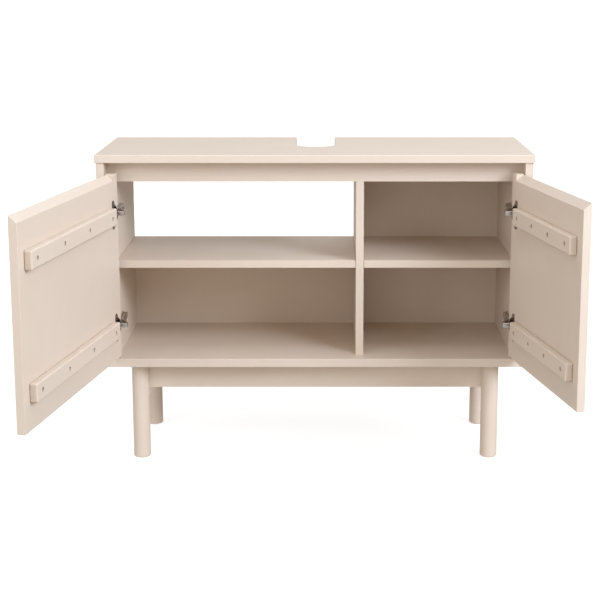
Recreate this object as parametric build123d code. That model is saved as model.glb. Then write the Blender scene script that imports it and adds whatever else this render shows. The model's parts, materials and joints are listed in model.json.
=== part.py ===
"""Sink base cabinet: a carcass on a round-legged frame, with two inset doors shown open.

Millimetres. X runs to the right as one faces the doors, Y from the doors to the wall, Z up.
The origin is on the floor, in the middle between the four feet.
"""
import os

from build123d import *

# ---------------------------------------------------------------- driving dimensions
# Overall
WIDTH = 900.0             # top panel, end to end
DEPTH = 300.0             # top panel, front to rear
HEIGHT = 660.0            # floor to the upper face of the top
LEG_LENGTH = 210.0        # floor to the underside of the bottom panel

# Boards
TOP_T = 16.0
CHEEK_T = 16.0            # outer side panels
LINER_T = 16.0            # inner side panels, which carry the hinges and shelves
BOTTOM_T = 18.0
DIVIDER_T = 16.0
SHELF_T = 16.0
RAIL_T = 16.0
BACK_T = 3.0
TOP_ROUND = 1.5           # rounding of the top panel's edges
BOARD_ROUND = 1.0         # rounding of the other boards' front edges

# Carcass layout
TOP_SIDE_OVERHANG = 3.0
TOP_FRONT_OVERHANG = 3.0
BOTTOM_SETBACK = 1.0      # bottom panel's front edge behind the cheeks' front edges
FRONT_RECESS = 34.0       # cheeks' front edges to the rail, the liners and the divider
RAIL_H = 44.0
DIVIDER_X = 94.0          # middle of the divider
SHELF_CLEAR_BELOW = 188.0  # bottom panel to the underside of the shelves
SHELF_SETBACK = 1.0       # shelf's front edge behind the divider's
SHELF_END_GAP = 0.5
BACK_RECESS = 2.5         # back panels' outer face in front of the cheeks' rear edges
BACK_EDGE_GAP = 0.5

# Siphon notch in the top
NOTCH_W = 86.0
NOTCH_DEPTH = 167.0

# Doors
DOOR_T = 16.0
DOOR_SPLIT_X = 61.0       # middle of the gap between the closed doors
DOOR_SIDE_GAP = 2.5
DOOR_MIDDLE_GAP = 2.0
DOOR_BOTTOM_GAP = 2.0
DOOR_FINGER_GAP = 23.0    # below the top panel
DOOR_BEVEL_DROP = 14.0    # the top edge falls by this much from the outer to the inner face
DOOR_BEVEL_STOP = 23.0    # level stretch of the top edge at the hinge end
DOOR_ROUND = 1.0
LEFT_DOOR_ANGLE = 101.0   # degrees from closed, as the doors stand here
RIGHT_DOOR_ANGLE = 102.0

# Battens on the doors
BATTEN_H = 35.0
BATTEN_T = 15.0
BATTEN_ROUND = 3.0
BATTEN_HINGE_MARGIN = 44.0   # from the door's hinge edge
BATTEN_FREE_MARGIN = 23.0    # from the door's free edge
BATTEN_INSET = 69.5          # batten's middle from the inner face's upper or lower edge
BATTEN_SCREWS = 4
BATTEN_SCREW_MARGIN = 24.5
BATTEN_SCREW_R = 1.75
BATTEN_HEAD_R = 4.0
BATTEN_HEAD_T = 2.5
BATTEN_SCREW_SINK = 8.0      # seat of the screw's head below the batten's face
BATTEN_MOUTH_R = 4.6         # hole that the head drops into
BATTEN_SCREW_GRIP = 9.0      # length in the door

# Concealed hinges: door half, level with the battens
PIVOT_INSET = 10.5        # pin's axis from the door's hinge edge
PIVOT_DEPTH = 7.0         # pin's axis behind the door's outer face
CUP_INSET = 22.0          # cup's middle from the door's hinge edge
CUP_R = 17.5
CUP_DEPTH = 13.0
CUP_WALL = 1.0
CUP_FLOOR = 0.8
FLANGE_R = 19.0
FLANGE_T = 1.2
EAR_OFFSET = 5.5          # ears' middle beyond the cup's middle
EAR_SPREAD = 24.0         # ears' middle above and below the cup's middle
EAR_R = 6.0
CUP_SCREW_R = 1.5
CUP_SCREW_GRIP = 11.0     # length in the door
CUP_HEAD_R = 3.2
CUP_HEAD_T = 1.8
LUG_GAP = 18.0            # between the two lugs in the cup that hold the pin
LUG_T = 6.0
LUG_RISE = 3.0            # lugs' top behind the pin's axis
PIN_R = 1.25
PIN_LENGTH = 23.6

# Concealed hinges: cabinet half
EYE_R = 2.6
NECK_W = 11.0
NECK_FRONT = 2.6          # neck's front face before the pin's axis
NECK_REAR = 0.5           # neck's rear face behind it
NECK_REACH = 26.0         # pin's axis to the neck's far end
CRANK_T = 4.0             # thickness of the arm's cranked stretch
ARM_BEND = 6.0            # first bend behind the pin's axis
ARM_W = 14.0
ARM_H = 7.0               # arm's stand above the plate
ARM_WALL = 1.5
ARM_CLEAR = 0.2           # around the plate's rib
PLATE_T = 3.0
PLATE_SETBACK = 6.0       # plate's front end behind the liner's front edge
PLATE_LENGTH = 52.0
PLATE_W = 18.0
RIB_H = 4.0               # plate's rib, which the arm straddles
PLATE_SCREW_BACK = 12.0   # plate's first screw behind its front end
PLATE_SCREW_PITCH = 32.0  # from the first screw to the second
PLATE_SCREW_R = 2.0
PLATE_SCREW_GRIP = 11.0
PLATE_HEAD_R = 3.8
PLATE_HEAD_T = 2.0
ARM_SCREW_BACK = 30.0     # arm screw behind the plate's front end
ARM_SCREW_R = 2.0
ARM_HEAD_R = 3.2
ARM_HEAD_T = 1.6

# Shelf pins
PIN_HOLE_DEPTH = 7.0
SHELF_PIN_R = 2.5
SHELF_PIN_OUT = 8.0
SHELF_PIN_MARGIN = 37.0   # from the shelf's front and rear edges
SHELF_PIN_COVER = 3.0     # shelf's underside to the pin's middle

# Leg frame
LEG_R = 18.0
LEG_END_INSET = 77.0      # leg's middle from the top panel's end
LEG_EDGE_INSET = 45.0     # leg's middle from the top panel's front or rear edge
LEG_ROUND = 2.5
APRON_H = 57.0
APRON_T = 16.0
APRON_SETBACK = 2.0       # apron's outer face inside the legs' axes
GLIDE_R = 13.0
GLIDE_T = 3.0
GLIDE_PROUD = 1.0
LEG_BOLT_R = 4.0
LEG_BOLT_UP = 12.0        # length in the bottom panel
LEG_BOLT_DOWN = 38.0      # length in the leg

# Dowels
DOWEL_R = 4.0
THIN_DOWEL_R = 3.0
CHEEK_DOWEL_UP = 10.0     # length in the top panel
CHEEK_DOWEL_DOWN = 22.0
CHEEK_DOWELS = 3
CHEEK_DOWEL_MARGIN = 60.0
END_DOWEL_OUT = 10.0      # length in the cheek
END_DOWEL_IN = 22.0       # length in the board that ends on the cheek
LINER_DOWEL_HALF = 10.0
LINER_DOWEL_MARGIN = 45.0
DIVIDER_DOWEL_UP = 20.0
DIVIDER_DOWEL_DOWN = 10.0
APRON_DOWEL_START = 5.0   # from the leg's axis
APRON_DOWEL_LENGTH = 38.0
LONG_APRON_DOWELS = 19.0  # above and below the middle of the front and rear aprons
SHORT_APRON_DOWELS = 7.0  # above and below the middle of the side aprons

# Screws of the back panels
BACK_SCREW_R = 1.5
BACK_SCREW_GRIP = 12.0
BACK_HEAD_R = 3.5
BACK_HEAD_T = 2.0
BACK_SCREW_MARGIN = 30.0  # from the right panel's upper edge
BACK_SCREW_PITCH = 165.0

# Fits
FIT = 0.05                # radial clearance of a dowel, screw or pin
CUP_FIT = 0.1             # cup in its pocket

# ---------------------------------------------------------------- worked out from them
CHEEK_OUT = WIDTH / 2 - TOP_SIDE_OVERHANG
CHEEK_IN = CHEEK_OUT - CHEEK_T
LINER_IN = CHEEK_IN - LINER_T
DIVIDER_LEFT = DIVIDER_X - DIVIDER_T / 2
DIVIDER_RIGHT = DIVIDER_X + DIVIDER_T / 2

FRONT = -DEPTH / 2
REAR = DEPTH / 2
CHEEK_FRONT = FRONT + TOP_FRONT_OVERHANG
RAIL_FRONT = CHEEK_FRONT + FRONT_RECESS
RAIL_REAR = RAIL_FRONT + RAIL_T
BOARD_REAR = REAR - BACK_RECESS - BACK_T
SHELF_FRONT = RAIL_FRONT + SHELF_SETBACK
LEG_X = WIDTH / 2 - LEG_END_INSET
LEG_Y = DEPTH / 2 - LEG_EDGE_INSET

BASE_Z = LEG_LENGTH
FLOOR_Z = BASE_Z + BOTTOM_T
UNDER_TOP = HEIGHT - TOP_T
RAIL_UNDER = UNDER_TOP - RAIL_H
SHELF_UNDER = FLOOR_Z + SHELF_CLEAR_BELOW
SHELF_TOP = SHELF_UNDER + SHELF_T

DOOR_FRONT = CHEEK_FRONT
DOOR_BACK = DOOR_FRONT + DOOR_T
DOOR_LOW = FLOOR_Z + DOOR_BOTTOM_GAP
DOOR_HIGH = UNDER_TOP - DOOR_FINGER_GAP
HINGE_EDGE = CHEEK_IN - DOOR_SIDE_GAP
PIVOT_X = HINGE_EDGE - PIVOT_INSET
PIVOT_Y = DOOR_FRONT + PIVOT_DEPTH
DOOR_WIDTHS = {
    "left": HINGE_EDGE + DOOR_SPLIT_X - DOOR_MIDDLE_GAP / 2,
    "right": HINGE_EDGE - DOOR_SPLIT_X - DOOR_MIDDLE_GAP / 2,
}
OPEN_ANGLES = {"left": LEFT_DOOR_ANGLE, "right": RIGHT_DOOR_ANGLE}
SIDES = {"left": -1, "right": 1}
FORWARD = Vector(0, -1, 0)   # towards someone who stands before the cabinet
ENDS = {"front": -1, "rear": 1}

HINGE_ZS = (DOOR_LOW + BATTEN_INSET, DOOR_HIGH - DOOR_BEVEL_DROP - BATTEN_INSET)
CUP_X = HINGE_EDGE - CUP_INSET
PLATE_FRONT = RAIL_FRONT + PLATE_SETBACK
PLATE_FACE = LINER_IN - PLATE_T
LIFT = 1.0                # how far a cutting tool runs past the face that it opens


# ---------------------------------------------------------------- helpers
def block(x0, x1, y0, y1, z0, z1):
    """A box between two values on each axis, given in either order."""
    size = Box(abs(x1 - x0), abs(y1 - y0), abs(z1 - z0))
    return Pos((x0 + x1) / 2, (y0 + y1) / 2, (z0 + z1) / 2) * size


def rod(start, direction, length, radius):
    """A round bar that starts at a point and runs along a direction."""
    place = Plane(origin=start, z_dir=direction)
    return place * Cylinder(radius, length, align=(Align.CENTER, Align.CENTER, Align.MIN))


def cut(body, tools):
    """The body less every tool."""
    return body - list(tools) if tools else body


def spread(low, high, count):
    """Evenly spaced values from low to high, both included."""
    return [low + (high - low) * i / (count - 1) for i in range(count)]


def even(low, high, pitch):
    """Evenly spaced values from low to high, about one pitch apart."""
    return spread(low, high, round((high - low) / pitch) + 1)


def rounded_front(board):
    """Rounds the edges of a board's front face."""
    return fillet(board.faces().sort_by(Axis.Y)[0].edges(), BOARD_ROUND)


def head_and_shank(seat, direction, head_r, head_t, shank_r, length):
    """A screw whose head sits at a point and whose shank runs on along a direction."""
    head = rod(seat - direction * head_t, direction, head_t, head_r)
    return head + rod(seat, direction, length, shank_r)


def mirrored(shape, side):
    """A shape drawn for the right-hand side, carried over to the named side."""
    return shape if SIDES[side] > 0 else mirror(shape, about=Plane.YZ)


def opened(shape, side):
    """A right-hand door piece drawn closed, swung open about its pin, on the named side."""
    swung = Pos(PIVOT_X, PIVOT_Y, 0) * Rot(0, 0, OPEN_ANGLES[side]) * Pos(-PIVOT_X, -PIVOT_Y, 0) * shape
    return mirrored(swung, side)


def write(node, shape):
    """Writes one sub-part: a single solid, or a list of like solids as one group."""
    if isinstance(shape, list):
        shape = Compound([solid for piece in shape for solid in piece.solids()])
    export_step(shape, f"parts/{node}.step")


# ---------------------------------------------------------------- fasteners of the carcass
def cheek_dowel_places():
    return spread(CHEEK_FRONT + CHEEK_DOWEL_MARGIN, REAR - CHEEK_DOWEL_MARGIN, CHEEK_DOWELS)


def top_dowels(grow=0.0):
    """Upright dowels between each cheek, the divider and the top panel."""
    length = CHEEK_DOWEL_UP + CHEEK_DOWEL_DOWN + 2 * grow
    places = [(side * (CHEEK_IN + CHEEK_T / 2), y) for side in (-1, 1) for y in cheek_dowel_places()]
    places += [(DIVIDER_X, y) for y in divider_dowel_places()]
    return [
        rod((x, y, UNDER_TOP - CHEEK_DOWEL_DOWN - grow), (0, 0, 1), length, DOWEL_R + grow)
        for x, y in places
    ]


def divider_dowel_places():
    return (RAIL_REAR + LINER_DOWEL_MARGIN, BOARD_REAR - LINER_DOWEL_MARGIN)


def foot_dowels(grow=0.0):
    """Upright dowels between the divider's foot and the bottom panel."""
    length = DIVIDER_DOWEL_UP + DIVIDER_DOWEL_DOWN + 2 * grow
    return [
        rod((DIVIDER_X, y, FLOOR_Z - DIVIDER_DOWEL_DOWN - grow), (0, 0, 1), length, DOWEL_R + grow)
        for y in divider_dowel_places()
    ]


def end_dowels(grow=0.0):
    """Level dowels between the cheeks and the ends of the bottom panel and the rail."""
    length = END_DOWEL_OUT + END_DOWEL_IN + 2 * grow
    middle_z = BASE_Z + BOTTOM_T / 2
    places = [(y, middle_z) for y in cheek_dowel_places()]
    places += [(RAIL_FRONT + RAIL_T / 2, z) for z in spread(RAIL_UNDER + RAIL_H / 4, UNDER_TOP - RAIL_H / 4, 2)]
    return [
        rod((side * (CHEEK_IN - END_DOWEL_IN - grow), y, z), (side, 0, 0), length, THIN_DOWEL_R + grow)
        for side in (-1, 1)
        for y, z in places
    ]


def liner_dowels(grow=0.0):
    """Short level dowels that tie each liner to its cheek."""
    ys = (RAIL_REAR + LINER_DOWEL_MARGIN, BOARD_REAR - LINER_DOWEL_MARGIN)
    zs = (FLOOR_Z + LINER_DOWEL_MARGIN, RAIL_UNDER - LINER_DOWEL_MARGIN)
    length = 2 * (LINER_DOWEL_HALF + grow)
    return [
        rod((side * (CHEEK_IN - LINER_DOWEL_HALF - grow), y, z), (side, 0, 0), length, THIN_DOWEL_R + grow)
        for side in (-1, 1)
        for y in ys
        for z in zs
    ]


def back_screw_places():
    """Seats of the small screws that hold the two back panels, as (x, z) pairs."""
    low = BASE_Z + BOTTOM_T / 2
    left, right = -CHEEK_IN + LINER_T / 2, CHEEK_IN - LINER_T / 2
    near = DIVIDER_T / 4
    places = []
    for start, end, high in (
        (left, DIVIDER_X - near, SHELF_TOP - SHELF_T / 2),
        (DIVIDER_X + near, right, UNDER_TOP - BACK_SCREW_MARGIN),
    ):
        places += [(x, z) for x in (start, end) for z in even(low, high, BACK_SCREW_PITCH)]
        places += [(x, low) for x in even(start, end, BACK_SCREW_PITCH)[1:-1]]
    shelf_row = even(left, DIVIDER_X - near, BACK_SCREW_PITCH)[1:-1]
    return places + [(x, SHELF_TOP - SHELF_T / 2) for x in shelf_row]


def back_screws(grow=0.0):
    """The small pan-head screws, driven from the rear."""
    seat_y = BOARD_REAR + BACK_T
    length = BACK_T + BACK_SCREW_GRIP + grow
    return [
        head_and_shank(
            Vector(x, seat_y, z), FORWARD, BACK_HEAD_R, BACK_HEAD_T, BACK_SCREW_R + grow, length
        )
        for x, z in back_screw_places()
    ]


# ---------------------------------------------------------------- carcass
def notch():
    """The siphon's U-shaped slot: straight walls and a half-round front end."""
    radius = NOTCH_W / 2
    middle_y = REAR - NOTCH_DEPTH + radius
    low, high = UNDER_TOP - LIFT, HEIGHT + LIFT
    return block(-radius, radius, middle_y, REAR + LIFT, low, high) + rod(
        (0, middle_y, low), (0, 0, 1), high - low, radius
    )


def top_panel():
    board = block(-WIDTH / 2, WIDTH / 2, FRONT, REAR, UNDER_TOP, HEIGHT) - notch()
    upper = board.faces().sort_by(Axis.Z)[-1]
    board = fillet(upper.edges(), TOP_ROUND)
    return cut(board, top_dowels(FIT))


def cheek(side):
    sign = SIDES[side]
    board = block(sign * CHEEK_IN, sign * CHEEK_OUT, CHEEK_FRONT, REAR, BASE_Z, UNDER_TOP)
    board = rounded_front(board)
    return cut(board, top_dowels(FIT) + end_dowels(FIT) + liner_dowels(FIT))


def rail_space():
    return block(-CHEEK_IN, CHEEK_IN, RAIL_FRONT - LIFT, RAIL_REAR, RAIL_UNDER, UNDER_TOP + LIFT)


def liner(side):
    """Inner side panel, with a step at its upper front corner for the rail."""
    sign = SIDES[side]
    board = block(sign * LINER_IN, sign * CHEEK_IN, RAIL_FRONT, BOARD_REAR, FLOOR_Z, UNDER_TOP)
    tools = [rail_space()] + liner_dowels(FIT) + back_screws(FIT)
    return cut(board, tools + shelf_pins(side, FIT) + plate_screws(side, FIT))


def bottom_panel():
    front = CHEEK_FRONT + BOTTOM_SETBACK
    board = block(-CHEEK_IN, CHEEK_IN, front, BOARD_REAR, BASE_Z, FLOOR_Z)
    board = rounded_front(board)
    return cut(board, end_dowels(FIT) + foot_dowels(FIT) + back_screws(FIT) + leg_bolts(FIT))


def front_rail():
    board = block(-CHEEK_IN, CHEEK_IN, RAIL_FRONT, RAIL_REAR, RAIL_UNDER, UNDER_TOP)
    return cut(board, end_dowels(FIT))


def divider():
    """Upright board between the bays, with the same step for the rail as the liners."""
    board = block(DIVIDER_LEFT, DIVIDER_RIGHT, RAIL_FRONT, BOARD_REAR, FLOOR_Z, UNDER_TOP)
    tools = [rail_space()] + top_dowels(FIT) + foot_dowels(FIT) + back_screws(FIT)
    return cut(board, tools + shelf_pins("left", FIT) + shelf_pins("right", FIT))


def shelf_span(side):
    """The two ends of a bay, from left to right."""
    return (-LINER_IN, DIVIDER_LEFT) if side == "left" else (DIVIDER_RIGHT, LINER_IN)


def shelf_pins(side, grow=0.0):
    """Four level pins, half in the uprights and half in grooves under the shelf."""
    low, high = shelf_span(side)
    z = SHELF_UNDER + SHELF_PIN_COVER
    ys = (SHELF_FRONT + SHELF_PIN_MARGIN, BOARD_REAR - SHELF_PIN_MARGIN)
    length = PIN_HOLE_DEPTH + SHELF_PIN_OUT + 2 * grow
    radius = SHELF_PIN_R + grow
    pins = [rod((low - PIN_HOLE_DEPTH - grow, y, z), (1, 0, 0), length, radius) for y in ys]
    return pins + [rod((high + PIN_HOLE_DEPTH + grow, y, z), (-1, 0, 0), length, radius) for y in ys]


def shelf_grooves(side):
    """Slots under the shelf's ends that drop over the pins."""
    low, high = shelf_span(side)
    ys = (SHELF_FRONT + SHELF_PIN_MARGIN, BOARD_REAR - SHELF_PIN_MARGIN)
    top = SHELF_UNDER + SHELF_PIN_COVER + SHELF_PIN_R
    half = SHELF_PIN_R + FIT
    reach = SHELF_PIN_OUT + 2 * FIT
    slots = []
    for y in ys:
        slots.append(block(low - LIFT, low + reach, y - half, y + half, SHELF_UNDER - LIFT, top))
        slots.append(block(high - reach, high + LIFT, y - half, y + half, SHELF_UNDER - LIFT, top))
    return slots


def shelf(side):
    low, high = shelf_span(side)
    board = block(low + SHELF_END_GAP, high - SHELF_END_GAP, SHELF_FRONT, BOARD_REAR, SHELF_UNDER, SHELF_TOP)
    board = rounded_front(board)
    return cut(board, shelf_grooves(side) + back_screws(FIT))


def back_panel(side):
    """Thin panel on the rear edges; the upper left bay stays open behind for the pipes."""
    low_z = BASE_Z + BACK_EDGE_GAP
    if side == "left":
        x0, x1, high_z = -CHEEK_IN + BACK_EDGE_GAP, DIVIDER_X - BACK_EDGE_GAP / 2, SHELF_TOP
    else:
        x0, x1, high_z = DIVIDER_X + BACK_EDGE_GAP / 2, CHEEK_IN - BACK_EDGE_GAP, UNDER_TOP - BACK_EDGE_GAP
    board = block(x0, x1, BOARD_REAR, BOARD_REAR + BACK_T, low_z, high_z)
    shanks = [
        rod((x, BOARD_REAR - LIFT, z), (0, 1, 0), BACK_T + 2 * LIFT, BACK_SCREW_R + FIT)
        for x, z in back_screw_places()
    ]
    return cut(board, shanks)


# ---------------------------------------------------------------- leg frame
def leg(side, end):
    x, y = SIDES[side] * LEG_X, ENDS[end] * LEG_Y
    bar = rod((x, y, GLIDE_PROUD), (0, 0, 1), BASE_Z - GLIDE_PROUD, LEG_R)
    bar = fillet(bar.edges().sort_by(Axis.Z)[0], LEG_ROUND)
    seat = rod((x, y, GLIDE_PROUD - LIFT), (0, 0, 1), GLIDE_T - GLIDE_PROUD + LIFT, GLIDE_R + FIT)
    return cut(bar, [seat] + apron_dowels(FIT) + leg_bolts(FIT))


def leg_places():
    return [(side * LEG_X, end * LEG_Y) for side in (-1, 1) for end in (-1, 1)]


def foot_glides():
    return [rod((x, y, 0), (0, 0, 1), GLIDE_T, GLIDE_R) for x, y in leg_places()]


def leg_bolts(grow=0.0):
    """Upright bolts that hold each leg under the bottom panel."""
    length = LEG_BOLT_UP + LEG_BOLT_DOWN + 2 * grow
    low = BASE_Z - LEG_BOLT_DOWN - grow
    return [rod((x, y, low), (0, 0, 1), length, LEG_BOLT_R + grow) for x, y in leg_places()]


def apron_line(sign, middle):
    """Middle of an apron's thickness, inside the legs' axes on the side that sign names."""
    return sign * (middle - APRON_SETBACK - APRON_T / 2)


def apron_dowels(grow=0.0):
    """Two level dowels at each end of each apron; those of crossing aprons pass over each other."""
    length = APRON_DOWEL_LENGTH + 2 * grow
    start = APRON_DOWEL_START - grow
    middle_z = BASE_Z - APRON_H / 2
    pins = []
    for sx in (-1, 1):
        for sy in (-1, 1):
            for up in (-1, 1):
                x, y = sx * (LEG_X - start), apron_line(sy, LEG_Y)
                z = middle_z + up * LONG_APRON_DOWELS
                pins.append(rod((x, y, z), (-sx, 0, 0), length, DOWEL_R + grow))
                x, y = apron_line(sx, LEG_X), sy * (LEG_Y - start)
                z = middle_z + up * SHORT_APRON_DOWELS
                pins.append(rod((x, y, z), (0, -sy, 0), length, DOWEL_R + grow))
    return pins


def long_apron_block(end):
    y = apron_line(ENDS[end], LEG_Y)
    return block(-LEG_X, LEG_X, y - APRON_T / 2, y + APRON_T / 2, BASE_Z - APRON_H, BASE_Z)


def apron(name):
    """A rail hollowed at its ends to the legs' round; the side ones stop at the long ones."""
    if name in ENDS:
        board, stops = long_apron_block(name), []
    else:
        x = apron_line(SIDES[name], LEG_X)
        board = block(x - APRON_T / 2, x + APRON_T / 2, -LEG_Y, LEG_Y, BASE_Z - APRON_H, BASE_Z)
        stops = [long_apron_block(end) for end in ENDS]
    stops += [rod((x, y, 0), (0, 0, 1), BASE_Z + LIFT, LEG_R) for x, y in leg_places()]
    board = cut(board, stops).solids().sort_by(SortBy.VOLUME)[-1]
    return cut(board, apron_dowels(FIT))


# ---------------------------------------------------------------- doors, drawn closed on the right
def free_edge(side):
    return HINGE_EDGE - DOOR_WIDTHS[side]


def door_stretch(x0, x1, joint_x, drop):
    """A length of door whose top edge falls by the drop, rounded but for its end in the joint."""
    outline = [
        (DOOR_FRONT, DOOR_LOW),
        (DOOR_BACK, DOOR_LOW),
        (DOOR_BACK, DOOR_HIGH - drop),
        (DOOR_FRONT, DOOR_HIGH),
    ]
    section = Plane.YZ.offset(x0) * Polygon(*outline, align=None)
    board = extrude(section, amount=x1 - x0, dir=(1, 0, 0))
    return fillet([e for e in board.edges() if abs(e.center().X - joint_x) > DOOR_ROUND], DOOR_ROUND)


def door(side):
    """Flat door: its top edge slopes down towards its inner face, and is level at the hinge end."""
    stop = HINGE_EDGE - DOOR_BEVEL_STOP
    grip = door_stretch(free_edge(side), stop, stop, DOOR_BEVEL_DROP)
    board = grip + door_stretch(stop, HINGE_EDGE, stop, 0.0)
    pockets = [
        rod((CUP_X, DOOR_BACK + LIFT, z), (0, -1, 0), CUP_DEPTH + LIFT, CUP_R + CUP_FIT) for z in HINGE_ZS
    ]
    screws = [screw for z in HINGE_ZS for screw in batten_screws(side, z, FIT)]
    return cut(board, pockets + cup_screws(FIT) + screws)


def batten_screws(side, z, grow=0.0):
    """The screws of one batten, sunk below its face."""
    seat_y = DOOR_BACK + BATTEN_T - BATTEN_SCREW_SINK
    length = seat_y - DOOR_BACK + BATTEN_SCREW_GRIP + grow
    low = free_edge(side) + BATTEN_FREE_MARGIN + BATTEN_SCREW_MARGIN
    high = HINGE_EDGE - BATTEN_HINGE_MARGIN - BATTEN_SCREW_MARGIN
    return [
        head_and_shank(
            Vector(x, seat_y, z), FORWARD, BATTEN_HEAD_R, BATTEN_HEAD_T, BATTEN_SCREW_R + grow, length
        )
        for x in spread(low, high, BATTEN_SCREWS)
    ]


def batten(side, z):
    """Stiffening strip across a door's inner face."""
    x0, x1 = free_edge(side) + BATTEN_FREE_MARGIN, HINGE_EDGE - BATTEN_HINGE_MARGIN
    face_y = DOOR_BACK + BATTEN_T
    strip = block(x0, x1, DOOR_BACK, face_y, z - BATTEN_H / 2, z + BATTEN_H / 2)
    strip = fillet(strip.edges(), BATTEN_ROUND)
    screws = batten_screws(side, z, FIT)
    mouths = [
        rod((s.center().X, face_y + LIFT, z), (0, -1, 0), BATTEN_SCREW_SINK + LIFT, BATTEN_MOUTH_R)
        for s in screws
    ]
    return cut(strip, screws + mouths)


def cup_screw_places(z):
    return [(CUP_X - EAR_OFFSET, z - EAR_SPREAD), (CUP_X - EAR_OFFSET, z + EAR_SPREAD)]


def cup_screws(grow=0.0):
    """Two screws through the ears of each cup."""
    seat_y = DOOR_BACK + FLANGE_T
    length = FLANGE_T + CUP_SCREW_GRIP + grow
    return [
        head_and_shank(Vector(x, seat_y, sz), FORWARD, CUP_HEAD_R, CUP_HEAD_T, CUP_SCREW_R + grow, length)
        for z in HINGE_ZS
        for x, sz in cup_screw_places(z)
    ]


def hinge_pin(z, grow=0.0):
    half = PIN_LENGTH / 2 + grow
    return rod((PIVOT_X, PIVOT_Y, z - half), (0, 0, 1), 2 * half, PIN_R + grow)


def hinge_cup(z):
    """Pressed cup in the door, with an eared flange and two lugs that hold the pin."""
    floor_y = DOOR_BACK - CUP_DEPTH
    outside = rod((CUP_X, floor_y, z), (0, 1, 0), CUP_DEPTH + FLANGE_T, CUP_R)
    rim = [rod((CUP_X, DOOR_BACK, z), (0, 1, 0), FLANGE_T, FLANGE_R)]
    rim += [rod((x, DOOR_BACK, sz), (0, 1, 0), FLANGE_T, EAR_R) for x, sz in cup_screw_places(z)]
    ear_x = CUP_X - EAR_OFFSET
    web = block(ear_x - EAR_R, ear_x + EAR_R, DOOR_BACK, DOOR_BACK + FLANGE_T, z - EAR_SPREAD, z + EAR_SPREAD)
    mouth = rod((CUP_X, floor_y + CUP_FLOOR, z), (0, 1, 0), CUP_DEPTH + FLANGE_T + LIFT, CUP_R - CUP_WALL)
    shell = outside + rim + web - mouth
    lugs = []
    for sign in (-1, 1):
        near, far = z + sign * LUG_GAP / 2, z + sign * CUP_R
        lug = block(PIVOT_X - LUG_T / 2, PIVOT_X + LUG_T / 2, floor_y, PIVOT_Y + LUG_RISE, near, far)
        lugs.append(lug & outside)
    return cut(shell + lugs, cup_screws(FIT) + [hinge_pin(z, FIT)])


# ---------------------------------------------------------------- cabinet half of the hinges
def arm_outline():
    """Plan of the arm: out of the cup beside the pin, back past the door's corner, along the plate."""
    top = PLATE_FACE - ARM_H
    return [
        (PIVOT_X, PIVOT_Y - NECK_FRONT),
        (PIVOT_X - NECK_REACH, PIVOT_Y - NECK_FRONT),
        (PIVOT_X - NECK_REACH, PIVOT_Y + ARM_BEND),
        (top, PLATE_FRONT + CRANK_T),
        (PLATE_FACE, PLATE_FRONT + CRANK_T),
        (PLATE_FACE, PLATE_FRONT),
        (PIVOT_X - NECK_REACH + CRANK_T, PIVOT_Y + ARM_BEND),
        (PIVOT_X - NECK_REACH + CRANK_T, PIVOT_Y + NECK_REAR),
        (PIVOT_X, PIVOT_Y + NECK_REAR),
    ]


def arm_screw(z, grow=0.0):
    """The screw that clamps an arm on its plate."""
    seat = Vector(PLATE_FACE - ARM_H, PLATE_FRONT + ARM_SCREW_BACK, z)
    length = ARM_H + PLATE_T / 2 + grow
    return head_and_shank(seat, Vector(1, 0, 0), ARM_HEAD_R, ARM_HEAD_T, ARM_SCREW_R + grow, length)


def hinge_arm(z):
    """Cranked arm: an eye round the pin, a neck, and a channel that straddles the plate's rib."""
    outline = Plane.XY.offset(z - NECK_W / 2) * Polygon(*arm_outline(), align=None)
    crank = extrude(outline, amount=NECK_W, dir=(0, 0, 1))
    eye = rod((PIVOT_X, PIVOT_Y, z - NECK_W / 2), (0, 0, 1), NECK_W, EYE_R)
    top, half = PLATE_FACE - ARM_H, ARM_W / 2
    rear = PLATE_FRONT + PLATE_LENGTH
    channel = block(top, PLATE_FACE, PLATE_FRONT + CRANK_T / 2, rear, z - half, z + half)
    hollow = block(
        top + ARM_WALL,
        PLATE_FACE + LIFT,
        PLATE_FRONT + CRANK_T,
        rear + LIFT,
        z - half + ARM_WALL,
        z + half - ARM_WALL,
    )
    return cut((crank + eye + channel) - hollow, [hinge_pin(z, FIT), arm_screw(z, FIT)])


def hinge_plate(z):
    """Mounting plate on the liner: a base with a rib under the arm, and two screws sunk in the rib."""
    rear = PLATE_FRONT + PLATE_LENGTH
    base = block(PLATE_FACE, LINER_IN, PLATE_FRONT, rear, z - PLATE_W / 2, z + PLATE_W / 2)
    rib_half = ARM_W / 2 - ARM_WALL - ARM_CLEAR
    rib_front = PLATE_FRONT + CRANK_T + ARM_CLEAR
    rib = block(PLATE_FACE - RIB_H, PLATE_FACE, rib_front, rear - LIFT, z - rib_half, z + rib_half)
    wells = [
        rod((PLATE_FACE, y, z), (-1, 0, 0), RIB_H + LIFT, PLATE_HEAD_R + FIT) for y in plate_screw_places()
    ]
    return cut(base + rib, wells + plate_screws("right", FIT) + [arm_screw(z, FIT)])


def plate_screw_places():
    first = PLATE_FRONT + PLATE_SCREW_BACK
    return (first, first + PLATE_SCREW_PITCH)


def plate_screws(side, grow=0.0):
    """Screws that hold the mounting plates on the named side's liner."""
    outward = Vector(1, 0, 0)
    length = PLATE_T + PLATE_SCREW_GRIP + grow
    return [
        mirrored(
            head_and_shank(
                Vector(PLATE_FACE, y, z),
                outward,
                PLATE_HEAD_R,
                PLATE_HEAD_T,
                PLATE_SCREW_R + grow,
                length,
            ),
            side,
        )
        for z in HINGE_ZS
        for y in plate_screw_places()
    ]


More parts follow.
